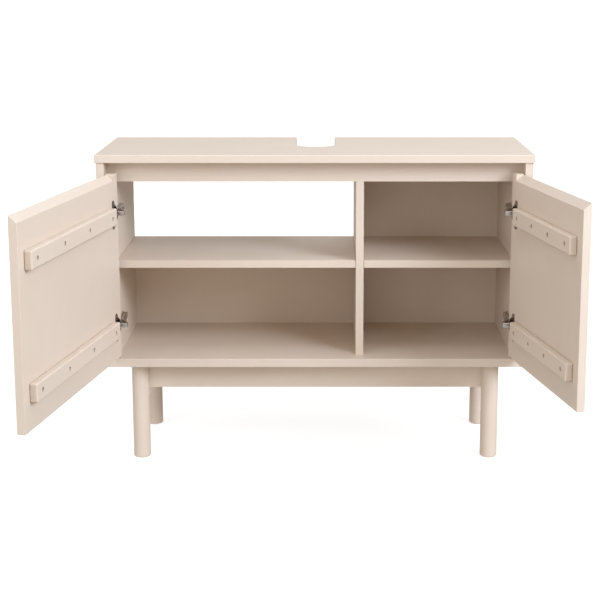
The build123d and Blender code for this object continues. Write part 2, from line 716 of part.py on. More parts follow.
# ---------------------------------------------------------------- writing the sub-parts
def write_carcass():
    write("top_panel", top_panel())
    write("bottom_panel", bottom_panel())
    write("front_rail", front_rail())
    write("divider", divider())
    write("panel_dowels", top_dowels() + foot_dowels())
    write("cross_dowels", end_dowels() + liner_dowels())
    write("back_panel_screws", back_screws())
    for side in SIDES:
        write(f"side_panel_{side}", cheek(side))
        write(f"side_liner_{side}", liner(side))
        write(f"shelf_{side}", shelf(side))
        write(f"shelf_pins_{side}", shelf_pins(side))
        write(f"back_panel_{side}", back_panel(side))


def write_leg_frame():
    for end in ENDS:
        write(f"apron_{end}", apron(end))
        for side in SIDES:
            write(f"leg_{end}_{side}", leg(side, end))
    for side in SIDES:
        write(f"apron_{side}", apron(side))
    write("foot_glides", foot_glides())
    write("leg_bolts", leg_bolts())
    write("apron_dowels", apron_dowels())


def write_door(side):
    names = ("lower", "upper")
    write(f"door_{side}", opened(door(side), side))
    for name, z in zip(names, HINGE_ZS):
        write(f"batten_{name}_{side}", opened(batten(side, z), side))
    screws = [screw for z in HINGE_ZS for screw in batten_screws(side, z)]
    write(f"batten_screws_{side}", [opened(screw, side) for screw in screws])
    write(f"hinge_cups_{side}", [opened(hinge_cup(z), side) for z in HINGE_ZS])
    write(f"hinge_pins_{side}", [opened(hinge_pin(z), side) for z in HINGE_ZS])
    write(f"cup_screws_{side}", [opened(screw, side) for screw in cup_screws()])


def write_hinge_mounts(side):
    write(f"hinge_arms_{side}", [mirrored(hinge_arm(z), side) for z in HINGE_ZS])
    write(f"hinge_plates_{side}", [mirrored(hinge_plate(z), side) for z in HINGE_ZS])
    write(f"arm_screws_{side}", [mirrored(arm_screw(z), side) for z in HINGE_ZS])
    write(f"plate_screws_{side}", plate_screws(side))


os.makedirs("parts", exist_ok=True)
write_carcass()
write_leg_frame()
for door_side in SIDES:
    write_door(door_side)
    write_hinge_mounts(door_side)
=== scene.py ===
"""Sink base cabinet: lacquer, metal finishes, detailed fittings and a pale studio round the frame.

Metres. X runs to the right as one faces the doors, Y from the doors to the wall, Z up, and the
origin is on the floor between the feet. The doors stand open at rest.
"""
import json

import bpy
import numpy as np
from bpy.props import FloatProperty, FloatVectorProperty, IntProperty, PointerProperty
from mathutils import Matrix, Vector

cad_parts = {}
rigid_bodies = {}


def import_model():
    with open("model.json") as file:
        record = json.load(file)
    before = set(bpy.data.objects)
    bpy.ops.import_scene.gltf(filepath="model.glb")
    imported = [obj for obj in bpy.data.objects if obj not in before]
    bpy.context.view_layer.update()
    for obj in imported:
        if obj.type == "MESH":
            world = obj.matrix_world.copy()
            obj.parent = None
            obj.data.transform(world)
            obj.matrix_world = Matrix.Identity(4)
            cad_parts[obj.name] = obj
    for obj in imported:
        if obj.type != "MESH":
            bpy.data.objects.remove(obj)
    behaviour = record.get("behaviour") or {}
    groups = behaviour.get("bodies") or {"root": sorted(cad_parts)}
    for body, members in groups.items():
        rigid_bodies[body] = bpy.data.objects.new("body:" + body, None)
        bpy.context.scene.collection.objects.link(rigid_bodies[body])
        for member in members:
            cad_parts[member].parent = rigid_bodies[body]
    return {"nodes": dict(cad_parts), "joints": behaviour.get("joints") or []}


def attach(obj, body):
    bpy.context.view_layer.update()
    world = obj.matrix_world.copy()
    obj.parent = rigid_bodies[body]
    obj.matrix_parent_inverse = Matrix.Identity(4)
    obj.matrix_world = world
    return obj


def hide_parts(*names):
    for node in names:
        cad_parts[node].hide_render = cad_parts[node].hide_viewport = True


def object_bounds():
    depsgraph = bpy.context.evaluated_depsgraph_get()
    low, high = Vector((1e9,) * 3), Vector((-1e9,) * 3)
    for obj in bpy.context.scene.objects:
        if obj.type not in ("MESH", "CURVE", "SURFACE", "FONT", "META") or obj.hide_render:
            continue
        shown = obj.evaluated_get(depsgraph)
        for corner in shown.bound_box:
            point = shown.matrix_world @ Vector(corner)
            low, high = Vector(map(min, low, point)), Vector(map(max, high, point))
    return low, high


bl_info = {
    "name": "Sink base cabinet",
    "version": (1, 0, 0),
    "blender": (4, 5, 0),
    "location": "3D View > Sidebar > Cabinet",
    "description": "Dresses the packed sink base cabinet and sets it in a pale studio",
    "category": "Object",
}

for start_object in list(bpy.data.objects):
    bpy.data.objects.remove(start_object)
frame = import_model()
CAD_BOX = [list(corner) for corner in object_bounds()]
SIDES = {"left": -1, "right": 1}
TURN = 2 * np.pi
SAME_LEVEL = 1e-5  # the corners of one flat CAD face differ by less than this
HINGE_REACH = 0.05  # the corners of one hinge lie nearer than this to its middle's level
LONG_SCREW, SHORT_SCREW = 0.03, 0.02  # how far one screw's corners lie from its first, at most


# ---------------------------------------------------------------- what a user would change
class LacquerSettings(bpy.types.PropertyGroup):
    colour: FloatVectorProperty(
        name="Lacquer", description="Satin lacquer on the boards",
        subtype="COLOR", size=3, min=0.0, max=1.0, default=(0.670, 0.545, 0.425),
    )
    thin_colour: FloatVectorProperty(
        name="Lacquer, thin coat", description="The lacquer in the clouds where the coat is thinner",
        subtype="COLOR", size=3, min=0.0, max=1.0, default=(0.640, 0.516, 0.398),
    )
    roughness: FloatProperty(
        name="Sheen", description="Roughness of the satin coat", subtype="FACTOR",
        min=0.0, max=1.0, default=0.42,
    )
    ripple: FloatProperty(
        name="Ripple height", description="Height of the sprayed coat's orange peel",
        unit="LENGTH", subtype="DISTANCE", precision=6, default=0.00004,
    )
    ripple_width: FloatProperty(
        name="Ripple width", description="Width of one dimple of the orange peel",
        unit="LENGTH", subtype="DISTANCE", precision=5, default=0.0022,
    )
    cloud_width: FloatProperty(
        name="Cloud width", description="Width of the faint lighter and darker clouds in the coat",
        unit="LENGTH", subtype="DISTANCE", default=0.16,
    )


class FittingSettings(bpy.types.PropertyGroup):
    nickel: FloatVectorProperty(
        name="Nickel", description="Nickel plate of the hinges and the shelf pins",
        subtype="COLOR", size=3, min=0.0, max=1.0, default=(0.66, 0.63, 0.60),
    )
    # Dark brown, far darker than the nickel: painted shade for the shadow in the hinge cups and round
    # their springs, not a plate of its own.
    cup_steel: FloatVectorProperty(
        name="Cup steel", description="Duller plate of the hinge cups and their springs",
        subtype="COLOR", size=3, min=0.0, max=1.0, default=(0.25, 0.205, 0.175),
    )
    zinc: FloatVectorProperty(
        name="Zinc", description="Zinc plate of the screws and bolts",
        subtype="COLOR", size=3, min=0.0, max=1.0, default=(0.50, 0.49, 0.47),
    )
    beech: FloatVectorProperty(
        name="Beech", description="Bare beech of the dowels",
        subtype="COLOR", size=3, min=0.0, max=1.0, default=(0.60, 0.40, 0.22),
    )
    glide: FloatVectorProperty(
        name="Glide", description="Moulded plastic of the glides under the legs",
        subtype="COLOR", size=3, min=0.0, max=1.0, default=(0.32, 0.30, 0.27),
    )
    wing_width: FloatProperty(
        name="Recess wing width",
        description="Width of a wing of the cross recess, as a share of the head's radius",
        subtype="FACTOR", default=0.24,
    )
    wing_reach: FloatProperty(
        name="Recess reach", description="Reach of the cross recess, as a share of the head's radius",
        subtype="FACTOR", default=0.60,
    )
    thread_pitch: FloatProperty(
        name="Thread pitch", description="From one crest of a screw's thread to the next",
        unit="LENGTH", subtype="DISTANCE", precision=5, default=0.0018,
    )
    steel_wall: FloatProperty(
        name="Arm wall", description="Wall of the pressed hinge arms",
        unit="LENGTH", subtype="DISTANCE", precision=5, default=0.0015,
    )
    cup_wall: FloatProperty(
        name="Cup wall", description="Wall of the pressed hinge cups",
        unit="LENGTH", subtype="DISTANCE", precision=5, default=0.001,
    )
    lug_gap: FloatProperty(
        name="Lug gap", description="Between the two lugs that hold a hinge pin",
        unit="LENGTH", subtype="DISTANCE", precision=4, default=0.018,
    )
    lug_width: FloatProperty(
        name="Lug width", description="Width of the lugs that hold a hinge pin",
        unit="LENGTH", subtype="DISTANCE", precision=4, default=0.0058,
    )
    spring_wire: FloatProperty(
        name="Spring wire", description="Diameter of the wire of the springs round the hinge pins",
        unit="LENGTH", subtype="DISTANCE", precision=5, default=0.0006,
    )
    spring_turns: IntProperty(
        name="Spring turns", description="Turns in each spring round a hinge pin",
        min=1, max=12, default=4,
    )


class StudioSettings(bpy.types.PropertyGroup):
    lens: FloatProperty(
        name="Lens", description="Focal length on a 36 mm sensor, in millimetres", default=77.27,
    )
    eye: FloatVectorProperty(
        name="Eye", description="Where the camera stands",
        subtype="XYZ", unit="LENGTH", size=3, default=(0.0240, -2.7509, 1.0154),
    )
    pitch: FloatProperty(
        name="Pitch", description="How far the camera looks down",
        subtype="ANGLE", default=np.radians(10.220),
    )
    yaw: FloatProperty(
        name="Yaw", description="How far the camera turns to the right",
        subtype="ANGLE", default=np.radians(0.046),
    )
    shift: FloatVectorProperty(
        name="Shift", description="Shift of the picture, in widths of it",
        size=2, default=(-0.0457, -0.15),
    )
    sky_tint: FloatVectorProperty(
        name="Sky tint", description="Colour of the light all round, a little warm",
        subtype="COLOR", size=3, min=0.0, max=2.0, default=(1.03, 1.0, 0.985),
    )
    softbox_tint: FloatVectorProperty(
        name="Softbox tint", description="Colour of the softboxes, a little cool",
        subtype="COLOR", size=3, min=0.0, max=2.0, default=(0.85, 1.0, 1.25),
    )
    sky_above: FloatProperty(
        name="Sky above", description="Strength of the light from above, in front", default=0.865,
    )
    sky_below: FloatProperty(
        name="Sky below", description="Strength of the light from below, in front", default=0.59,
    )
    sky_behind: FloatProperty(
        name="Sky behind", description="Light from behind, as a share of that in front", default=0.6,
    )
    key: FloatProperty(
        name="Key", description="Power of the softbox at the right, in watts", default=123.0,
    )
    fill: FloatProperty(
        name="Fill", description="Power of the softbox at the left, in watts", default=31.0,
    )
    top: FloatProperty(name="Top", description="Power of the softbox overhead, in watts", default=20.0)
    low: FloatProperty(
        name="Low", description="Power of the low softbox behind the camera, in watts", default=3.0,
    )
    rear: FloatProperty(
        name="Rear", description="Power of the low softbox behind the cabinet, in watts", default=26.0,
    )
    paper_glow: FloatProperty(
        name="Paper glow", description="Glow of the floor, which the eye alone sees", default=0.80,
    )
    floor_side: FloatProperty(
        name="Floor side", description="Side of the square floor",
        unit="LENGTH", subtype="DISTANCE", default=24.0,
    )


def settings():
    """The scene's three groups of sizes and colours: lacquer, fittings, studio."""
    scene = bpy.context.scene
    return scene.cabinet_lacquer, scene.cabinet_fittings, scene.cabinet_studio


# ---------------------------------------------------------------- meshes from grids
def skin(rings):
    """Points and faces of a closed skin over rings of points (rings x columns x 3).

    Point (i, j) is joined to (i, j + 1), wrapping round, and to ring i + 1; the first and the last
    ring are shut by a fan to their mean point. Rings that run counterclockwise about the axis they
    climb give faces that point outwards.
    """
    count, columns = rings.shape[:2]
    poles = rings[[0, -1]].mean(axis=1)
    points = np.concatenate([rings.reshape(-1, 3), poles])
    i, j = np.meshgrid(np.arange(count - 1), np.arange(columns), indexing="ij")
    after = (j + 1) % columns
    low, high = i * columns, (i + 1) * columns
    quads = np.stack([low + j, low + after, high + after, high + j], axis=-1).reshape(-1, 4)
    here = np.arange(columns)
    onward = (here + 1) % columns
    top, bottom_pole, top_pole = (count - 1) * columns, count * columns, count * columns + 1
    first = np.stack([onward, here, np.full(columns, bottom_pole)], axis=-1)
    last = np.stack([top + here, top + onward, np.full(columns, top_pole)], axis=-1)
    return points, [quads, np.concatenate([first, last])]


def round_angles(columns):
    """That many even angles round a circle, from 0."""
    return np.linspace(0.0, TURN, columns, endpoint=False)


def about_z(radius, angle, level):
    """Points at a radius and an angle about +Z, at a level; the three are broadcast to one grid."""
    radius, angle, level = np.broadcast_arrays(radius, angle, level)
    return np.stack([radius * np.cos(angle), radius * np.sin(angle), level], axis=-1)


def repeated(points, faces, turns, places):
    """The same skin once for each 3 x 3 turn and place: copy k's points are turn_k p + place_k."""
    copies = np.einsum("kab,nb->kna", turns, points) + places[:, None, :]
    shifts = np.arange(len(places)) * len(points)
    moved = [(kind[None] + shifts[:, None, None]).reshape(-1, kind.shape[1]) for kind in faces]
    return copies.reshape(-1, 3), moved


def joined(parts):
    """Several (points, faces) skins as one."""
    points, faces, start = [], [], 0
    for part_points, part_faces in parts:
        points.append(part_points)
        faces += [kind + start for kind in part_faces]
        start += len(part_points)
    return np.concatenate(points), faces


def new_piece(name, points, faces, surface):
    """A smooth mesh object from a skin, with one finish."""
    mesh = bpy.data.meshes.new(name)
    mesh.from_pydata(points.tolist(), [], [face for kind in faces for face in kind.tolist()])
    mesh.materials.append(surface)
    mesh.shade_smooth()
    piece = bpy.data.objects.new(name, mesh)
    bpy.context.scene.collection.objects.link(piece)
    return piece


def add_piece(name, points, faces, surface, body, slot, sharp_angle=35.0):
    """A piece of the cabinet, with edges past an angle kept sharp, that rides on a body."""
    piece = new_piece(name, points, faces, surface)
    piece.data.set_sharp_from_angle(angle=np.radians(sharp_angle))
    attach(piece, body)
    return piece


# ---------------------------------------------------------------- places read from the frame
def node_points(node):
    """Every corner of a CAD node's mesh, as an array."""
    mesh = frame["nodes"][node].data
    points = np.empty(len(mesh.vertices) * 3)
    mesh.vertices.foreach_get("co", points)
    return points.reshape(-1, 3)


def turn_about_z(angle):
    """The 3 x 3 turn by an angle about the upright axis."""
    c, s = np.cos(angle), np.sin(angle)
    return np.array([[c, -s, 0.0], [s, c, 0.0], [0.0, 0.0, 1.0]])


def opening(side):
    """How the frame's open door differs from the closed one: the turn and the hinge axis' place."""
    joint = next(j for j in frame["joints"] if j["child"] == f"door_{side}")
    closing = np.radians(joint["range_deg"][1]) * np.sign(joint["axis"][2])
    return turn_about_z(-closing), np.array(joint["pos_m"])


def clumps(points, reach):
    """Splits points into clumps that lie within a reach of each clump's first point."""
    groups = []
    while len(points):
        near = np.linalg.norm(points - points[0], axis=1) < reach
        groups.append(points[near])
        points = points[~near]
    return groups


def midway(points):
    """Halfway between the lowest and the highest of some values, for each axis."""
    return (points.min(axis=0) + points.max(axis=0)) / 2


def screw_seats(node, outward, reach):
    """Place and sizes of each screw of a CAD node, whose heads face outward.

    They are the middle of the head's top, head radius, shank radius, head depth and length. Along
    the outward direction the head's top is the highest level, the tip the lowest, and the seat the
    lowest level that still has about the head's full radius.
    """
    seats = []
    for group in clumps(node_points(node), reach):
        level = group @ outward
        across = group - np.outer(level, outward)
        middle = midway(across)
        radius = np.linalg.norm(across - middle, axis=1)
        head_r = radius.max()
        about_full = 0.97 * head_r
        seat = level[radius > about_full].min()
        shank_r = radius[np.isclose(level, level.min())].max()
        top = middle + outward * level.max()
        seats.append((top, head_r, shank_r, level.max() - seat, level.max() - level.min()))
    return seats


def turn_to(outward):
    """A 3 x 3 turn that carries +Z to the outward direction."""
    nearly_upright = abs(outward[2]) > 0.9
    helper = np.array([1.0, 0.0, 0.0]) if nearly_upright else np.array([0.0, 0.0, 1.0])
    side = np.cross(helper, outward)
    side /= np.linalg.norm(side)
    return np.stack([side, np.cross(outward, side), outward], axis=1)


# ---------------------------------------------------------------- finishes
def node_tree(name):
    """A new material with its node tree, its surface shader and an Object-coordinate source."""
    material = bpy.data.materials.new(name)
    material.use_nodes = True
    tree = material.node_tree
    coordinates = tree.nodes.new("ShaderNodeTexCoord").outputs["Object"]
    return material, tree, tree.nodes["Principled BSDF"], coordinates


def noise(tree, coordinates, width, detail=2.0, stretch=(1.0, 1.0, 1.0)):
    """A noise whose blobs are about one width across, stretched along the axes by the given shares."""
    mapping = tree.nodes.new("ShaderNodeMapping")
    mapping.inputs["Scale"].default_value = [1.0 / (width * share) for share in stretch]
    tree.links.new(coordinates, mapping.inputs["Vector"])
    texture = tree.nodes.new("ShaderNodeTexNoise")
    texture.inputs["Scale"].default_value = 1.0
    texture.inputs["Detail"].default_value = detail
    tree.links.new(mapping.outputs["Vector"], texture.inputs["Vector"])
    return texture.outputs["Fac"]


def between(tree, share, low, high, start=0.3, stop=0.7):
    """A value that runs from low to high as the share runs from start to stop."""
    run = tree.nodes.new("ShaderNodeMapRange")
    run.inputs["From Min"].default_value = start
    run.inputs["From Max"].default_value = stop
    run.inputs["To Min"].default_value = low
    run.inputs["To Max"].default_value = high
    tree.links.new(share, run.inputs["Value"])
    return run.outputs["Result"]


def blended(tree, share, first, second):
    """A colour that runs from the first to the second with the share; each is a colour or a socket."""
    mix = tree.nodes.new("ShaderNodeMix")
    mix.data_type = "RGBA"
    colours = [s for s in mix.inputs if s.type == "RGBA"]
    for socket, colour in zip(colours, (first, second)):
        if isinstance(colour, bpy.types.NodeSocket):
            tree.links.new(colour, socket)
        else:
            socket.default_value = (*colour, 1.0)
    tree.links.new(share, mix.inputs["Factor"])
    return next(s for s in mix.outputs if s.type == "RGBA")


def bumped(tree, shader, height, distance, under=None):
    """Puts a height on the shader's normal as a bump of a real distance, over an earlier bump."""
    bump = tree.nodes.new("ShaderNodeBump")
    bump.inputs["Distance"].default_value = distance
    tree.links.new(height, bump.inputs["Height"])
    if under is not None:
        tree.links.new(under, bump.inputs["Normal"])
    tree.links.new(bump.outputs["Normal"], shader.inputs["Normal"])
    return bump.outputs["Normal"]


def lacquer(name, tint, ripple_share):
    """Sprayed satin lacquer: faint clouds of colour, an orange-peel bump and an uneven sheen.

    The coat is worn a little in specks, and wide low waves of the board lie under the orange peel.
    """
    coat = settings()[0]
    speck_width, worn_share = coat.ripple_width * 4, 0.96
    wave_width, wave_height = coat.ripple_width * 30, coat.ripple * 4
    material, tree, shader, where = node_tree(name)
    clouds = noise(tree, where, coat.cloud_width, detail=3.0)
    specks = noise(tree, where, speck_width, detail=4.0)
    full = [c * t for c, t in zip(coat.colour, tint)]
    thin = [c * t for c, t in zip(coat.thin_colour, tint)]
    worn = [c * worn_share for c in thin]
    base = blended(tree, between(tree, clouds, 0.0, 0.7), full, thin)
    base = blended(tree, between(tree, specks, 0.0, 0.35, 0.55, 0.8), base, worn)
    tree.links.new(base, shader.inputs["Base Color"])
    sheen = between(tree, clouds, coat.roughness - 0.04, coat.roughness + 0.05)
    tree.links.new(sheen, shader.inputs["Roughness"])
    peel = noise(tree, where, coat.ripple_width, detail=1.5)
    under = bumped(tree, shader, peel, coat.ripple * ripple_share)
    waves = noise(tree, where, wave_width, detail=1.0)
    bumped(tree, shader, waves, wave_height, under)
    shader.inputs["Specular IOR Level"].default_value = 0.42
    shader.inputs["Coat Weight"].default_value = 0.08
    shader.inputs["Coat Roughness"].default_value = 0.3
    return material


def plated(name, colour, roughness, grain):
    """Plated steel: brushed hairlines along one axis, small stains and a soft uneven gloss."""
    hair_length, hair_height, stain_width, stain_share = 12.0, grain * 0.02, grain * 14, 0.78
    material, tree, shader, where = node_tree(name)
    hairs = noise(tree, where, grain, detail=3.0, stretch=(1.0, hair_length, 1.0))
    stains = noise(tree, where, stain_width, detail=4.0)
    dull = [c * stain_share for c in colour]
    base = blended(tree, between(tree, stains, 0.0, 0.8), colour, dull)
    tree.links.new(base, shader.inputs["Base Color"])
    tree.links.new(between(tree, hairs, roughness - 0.06, roughness + 0.08), shader.inputs["Roughness"])
    bumped(tree, shader, hairs, hair_height)
    shader.inputs["Metallic"].default_value = 1.0
    return material


def bare_beech(name, colour):
    """Turned beech: long grain with dark flecks, dry and slightly rough."""
    grain_width, fleck_width, relief, dark_share = 0.0012, 0.0006, 0.00008, 0.62
    material, tree, shader, where = node_tree(name)
    grain = noise(tree, where, grain_width, detail=5.0, stretch=(8.0, 1.0, 8.0))
    flecks = noise(tree, where, fleck_width, detail=2.0, stretch=(5.0, 1.0, 5.0))
    dark = [c * dark_share for c in colour]
    base = blended(tree, between(tree, grain, 0.0, 0.7), colour, dark)
    base = blended(tree, between(tree, flecks, 0.0, 0.6, 0.6, 0.8), base, dark)
    tree.links.new(base, shader.inputs["Base Color"])
    tree.links.new(between(tree, grain, 0.55, 0.75), shader.inputs["Roughness"])
    bumped(tree, shader, grain, relief)
    return material


def moulded(name, colour):
    """Moulded plastic with a spark-eroded texture."""
    cell_width, cloud_width, relief, dark_share = 0.0007, 0.012, 0.00006, 0.85
    material, tree, shader, where = node_tree(name)
    cells = noise(tree, where, cell_width, detail=4.0)
    clouds = noise(tree, where, cloud_width, detail=2.0)
    dark = [c * dark_share for c in colour]
    base = blended(tree, between(tree, clouds, 0.0, 1.0), colour, dark)
    tree.links.new(base, shader.inputs["Base Color"])
    tree.links.new(between(tree, cells, 0.5, 0.68), shader.inputs["Roughness"])
    bumped(tree, shader, cells, relief)
    return material


def finish(name):
    """The finish made for a slot of the record, or the cups' own dark steel, whose darkness is painted
    shade.
    """
    return bpy.data.materials[f"finish_{name}"]


def dress(slot):
    """Puts a slot's finish on every CAD node that has that slot."""
    for node in frame["nodes"].values():
        for holder in node.material_slots:
            if holder.material and holder.material.name == slot:
                holder.material = finish(slot)


class CABINET_OT_lacquer(bpy.types.Operator):
    """Lacquer the boards, the leg frame and the back panels"""

    bl_idname = "cabinet.lacquer"
    bl_label = "Lacquer the boards"

    def execute(self, context):
        for slot, tint, ripple_share in (
            ("lacquered_board", (1.0, 1.0, 1.0), 1.0),
            ("lacquered_frame", (1.01, 1.0, 0.99), 0.8),
            ("lacquered_back", (0.99, 0.98, 0.97), 1.4),
        ):
            lacquer(f"finish_{slot}", tint, ripple_share)
            dress(slot)
        return {"FINISHED"}


class CABINET_OT_fitting_finishes(bpy.types.Operator):
    """Finish the plated steel, the beech dowels and the plastic glides"""

    bl_idname = "cabinet.fitting_finishes"
    bl_label = "Finish the fittings"

    def execute(self, context):
        fittings = settings()[1]
        plated("finish_nickel_steel", fittings.nickel, 0.26, 0.0004)
        # The cups' steel is dark brown as painted shade for the shadow in the cups.
        plated("finish_cup_steel", fittings.cup_steel, 0.34, 0.0004)
        plated("finish_zinc_screws", fittings.zinc, 0.34, 0.0005)
        bare_beech("finish_beech_dowels", fittings.beech)
        moulded("finish_felt_grey_plastic", fittings.glide)
        for slot in ("nickel_steel", "zinc_screws", "beech_dowels", "felt_grey_plastic"):
            dress(slot)
        return {"FINISHED"}


# ---------------------------------------------------------------- cross-recessed screws
def recess_columns(radius, wing, lands, floors):
    """Angles of one quadrant's columns, one row for each radius, round a wing of that half width.

    The wing's edge stands at the angle whose sine is wing / radius, but short of the quadrant's, so
    that no columns meet. Land columns fill the stretch up to it, floor columns most of that inside.
    """
    side, steepest, brink = TURN / 8, 0.95, 0.9
    edge = np.arcsin(np.minimum(wing / radius, np.sin(steepest * side)))
    land = np.linspace(0.0, 1.0, lands)
    before = -side + (side - edge) * land
    inside = edge * np.linspace(-brink, brink, floors)
    after = edge + (side - edge) * land[:-1]
    return np.concatenate([before, inside, after], axis=1)


def screw_skin(head_r, shank_r, head_t, length, fittings):
    """A pan-head screw about +Z, its head's crown at 0 and its tip at -length.

    The head is a low dome, -crown * (r / R)^2, with a cross recess sunk in it: inside the wings the
    level is the recess floor, which climbs with the radius. The shank's radius is its core plus a
    thread, the cube of a raised cosine of level / pitch - angle / turn, and it runs out to a point.
    """
    lands, floors = 4, 4
    wing, reach = fittings.wing_width * head_r / 2, fittings.wing_reach * head_r
    hub, fork = 1.35 * wing, 1.5 * wing  # just inside and outside sqrt(2) * wing, where wings meet
    crown, rim = 0.12 * head_r, 0.16 * head_r
    floor_depth, floor_climb = 0.5 * head_r, 0.22 * head_r
    dome_r = head_r - rim
    ring_r = np.concatenate([
        [0.35 * hub, hub, fork, 1.03 * fork, 1.5 * fork],
        np.linspace(1.65 * fork, reach, 4),
        [1.03 * reach],
        np.linspace(1.1 * reach, dome_r, 4),
    ])[:, None]
    quadrant = recess_columns(ring_r, wing, lands, floors)
    columns = quadrant.shape[1] * 4
    crossed = np.concatenate([quadrant + q * TURN / 4 for q in range(4)], axis=1)
    even = round_angles(columns) - TURN / 8
    share = np.clip((ring_r - reach) / (dome_r - reach), 0.0, 1.0)
    is_floor = np.tile([False] * lands + [True] * floors + [False] * (lands - 1), 4)
    in_wing = (ring_r <= reach) & (is_floor | (ring_r <= hub))
    dome, recess = -crown * (ring_r / head_r) ** 2, floor_climb * ring_r / reach - floor_depth
    level = np.where(in_wing, recess, dome)
    head = about_z(ring_r, crossed * (1 - share) + even * share, level)

    bend = np.linspace(0.0, np.pi / 2, 5)[1:]
    under_r = np.array([0.985 * head_r, shank_r, 0.86 * shank_r])
    under_z = np.array([-head_t, -head_t, -head_t - 0.0002])
    edge_r = np.concatenate([dome_r + rim * np.sin(bend), under_r])[:, None]
    edge_z = np.concatenate([-crown - rim * (1 - np.cos(bend)), under_z])[:, None]

    core, point, ring_gap = 0.74 * shank_r, 2.2 * shank_r, 0.0004
    rings = max(8, int((length - head_t) / ring_gap))
    shank = np.linspace(-head_t - ring_gap, point - length, rings)[:, None]
    thread = (0.5 + 0.5 * np.cos(TURN * shank / fittings.thread_pitch - even)) ** 3
    taper = np.array([0.75, 0.45, 0.12])[:, None]
    return skin(np.concatenate([
        head,
        about_z(edge_r, even, edge_z),
        about_z(core + (shank_r - core) * thread, even, shank),
        about_z(core * taper, even, point * taper - length),
    ])[::-1])


def add_screws(name, node, outward, reach, body):
    """Cross-recessed screws in place of a CAD node's plain ones, each turned a little differently."""
    seats = screw_seats(node, outward, reach)
    _, head_r, shank_r, head_t, length = seats[0]
    points, faces = screw_skin(head_r, shank_r, head_t, length, settings()[1])
    rng = np.random.default_rng(len(seats) + ord(name[0]))
    angles = rng.uniform(0.0, np.pi / 2, len(seats))
    turns = np.stack([turn_to(outward) @ turn_about_z(angle) for angle in angles])
    points, faces = repeated(points, faces, turns, np.array([seat[0] for seat in seats]))
    piece = add_piece(name, points, faces, finish("zinc_screws"), body, "zinc_screws")
    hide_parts(node)


class CABINET_OT_door_screws(bpy.types.Operator):
    """Set the screws of the battens and of the hinge cups in the doors"""

    bl_idname = "cabinet.door_screws"
    bl_label = "Set the doors' screws"

    def execute(self, context):
        for side in SIDES:
            outward = opening(side)[0] @ np.array([0.0, 1.0, 0.0])
            for kind in ("batten", "cup"):
                name, node = f"{kind}_cross_screws_{side}", f"{kind}_screws_{side}"
                add_screws(name, node, outward, LONG_SCREW, f"door_{side}")
        return {"FINISHED"}


class CABINET_OT_cabinet_screws(bpy.types.Operator):
    """Set the screws of the mounting plates, the hinge arms and the back panels"""

    bl_idname = "cabinet.cabinet_screws"
    bl_label = "Set the cabinet's screws"

    def execute(self, context):
        for side, sign in SIDES.items():
            inward = np.array([-1.0, 0.0, 0.0]) * sign
            for kind in ("plate", "arm"):
                name, node = f"{kind}_cross_screws_{side}", f"{kind}_screws_{side}"
                add_screws(name, node, inward, SHORT_SCREW, "cabinet")
        rearward = np.array([0.0, 1.0, 0.0])
        add_screws("back_cross_screws", "back_panel_screws", rearward, LONG_SCREW, "cabinet")
        return {"FINISHED"}


# ---------------------------------------------------------------- hinges
def hinge_levels(side):
    """Heights of the two hinges' middles, from the pins."""
    pins = clumps(node_points(f"hinge_pins_{side}"), HINGE_REACH)
    return sorted(midway(pin[:, 2]) for pin in pins)


def pin_radius(side):
    """Radius of a door's hinge pins."""
    return np.ptp(node_points(f"hinge_pins_{side}")[:, 0]) / 2


def of_lower_hinge(points, side):
    """The points that belong to a door's lower hinge."""
    return points[np.abs(points[:, 2] - hinge_levels(side)[0]) < HINGE_REACH]


def closed_points(node, side):
    """A door node's corners on the closed door, and those of the left one mirrored to the right."""
    turn, axis = opening(side)
    return ((node_points(node) - axis) @ turn + axis) * (SIDES[side], 1, 1)


def to_side(points, faces, side):
    """A skin drawn on the right-hand side, mirrored and turned face out again for the left."""
    if SIDES[side] > 0:
        return points, faces
    return points * (-1, 1, 1), [kind[:, ::-1] for kind in faces]


def cup_sizes(side):
    """Sizes of one CAD hinge cup, read on the closed door: its place, flange and ears."""
    cup = of_lower_hinge(closed_points(f"hinge_cups_{side}", side), side)
    screws = of_lower_hinge(closed_points(f"cup_screws_{side}", side), side)
    level = hinge_levels(side)[0]
    face_y = closed_points(f"door_{side}", side)[:, 1].max()
    floor = cup[np.isclose(cup[:, 1], cup[:, 1].min(), atol=SAME_LEVEL)]
    middle_x = midway(floor[:, 0])
    ear_x, _, ear_z = midway(screws[screws[:, 2] > level])
    return {
        "x": middle_x,
        "face": face_y,
        "radius": np.ptp(floor[:, 0]) / 2,
        "depth": face_y - cup[:, 1].min(),
        "flange": cup[:, 1].max() - face_y,
        "disc": cup[:, 0].max() - middle_x,
        "ear_offset": middle_x - ear_x,
        "ear_spread": ear_z - level,
        "ear_radius": cup[:, 2].max() - ear_z,
    }


def arm_sizes(side):
    """Sizes of one CAD hinge arm in plan, on the right-hand side: its neck, crank and channel.

    The neck lies furthest from the cabinet's side, and the channel runs to the rear.
    """
    arm = of_lower_hinge(node_points(f"hinge_arms_{side}") * (SIDES[side], 1, 1), side)
    neck = arm[np.isclose(arm[:, 0], arm[:, 0].min(), atol=SAME_LEVEL)]
    rear = arm[np.isclose(arm[:, 1], arm[:, 1].max(), atol=SAME_LEVEL)]
    back = rear[:, 0].min()
    return {
        "front": arm[:, 1].min(),
        "neck": neck[:, 0].min(),
        "neck_end": neck[:, 1].max(),
        "neck_width": np.ptp(neck[:, 2]),
        "back": back,
        "crank_end": arm[np.isclose(arm[:, 0], back, atol=SAME_LEVEL)][:, 1].min(),
        "rear": rear[:, 1].max(),
        "width": np.ptp(rear[:, 2]),
        "depth": np.ptp(rear[:, 0]),
    }


